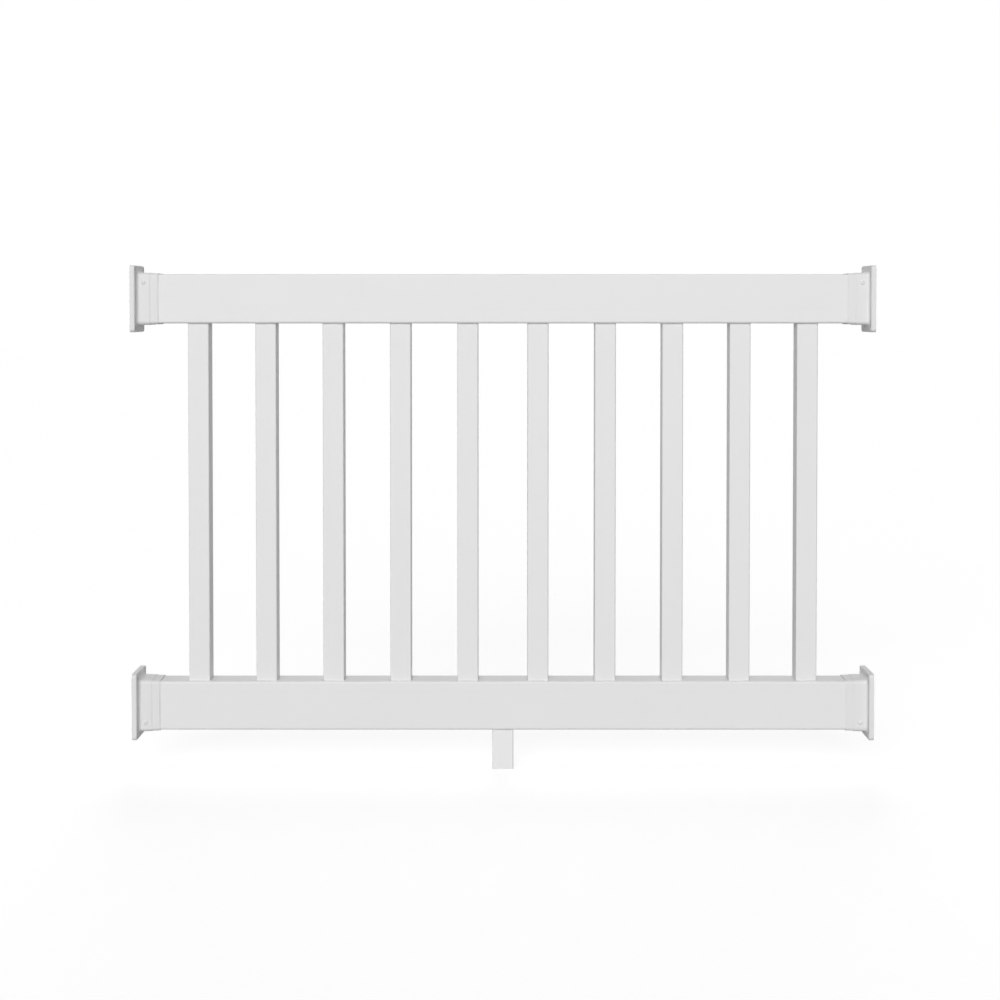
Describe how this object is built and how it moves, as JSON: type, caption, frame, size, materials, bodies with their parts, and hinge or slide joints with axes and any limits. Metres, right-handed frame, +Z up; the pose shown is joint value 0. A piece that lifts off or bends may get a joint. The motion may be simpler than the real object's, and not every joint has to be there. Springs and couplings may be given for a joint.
{
  "type": "vinyl railing section",
  "caption": "White vinyl railing section with square balusters between two hollow rails, moulded post brackets at its four corners and a foot block under the middle.",
  "frame": {"origin": "middle of the lower left bracket's flat post face", "axes": "+X along the section from the left post to the right post, +Y away from the viewer, +Z up"},
  "size_m": [1.342, 0.0824, 0.917],
  "materials": {
    "extruded_vinyl": "satin",
    "moulded_vinyl": "satin",
    "coated_screw": "satin",
    "stainless_screw": "satin"
  },
  "bodies": {
    "root": {"baluster_01": "extruded_vinyl", "baluster_02": "extruded_vinyl", "baluster_03": "extruded_vinyl", "baluster_04": "extruded_vinyl", "baluster_05": "extruded_vinyl", "baluster_06": "extruded_vinyl", "baluster_07": "extruded_vinyl", "baluster_08": "extruded_vinyl", "baluster_09": "extruded_vinyl", "baluster_10": "extruded_vinyl", "bottom_rail": "extruded_vinyl", "bracket_left_bottom": "moulded_vinyl", "bracket_left_top": "moulded_vinyl", "bracket_right_bottom": "moulded_vinyl", "bracket_right_top": "moulded_vinyl", "foot_block": "extruded_vinyl", "foot_plug": "moulded_vinyl", "top_rail": "extruded_vinyl"}
  },
  "joints": []
}
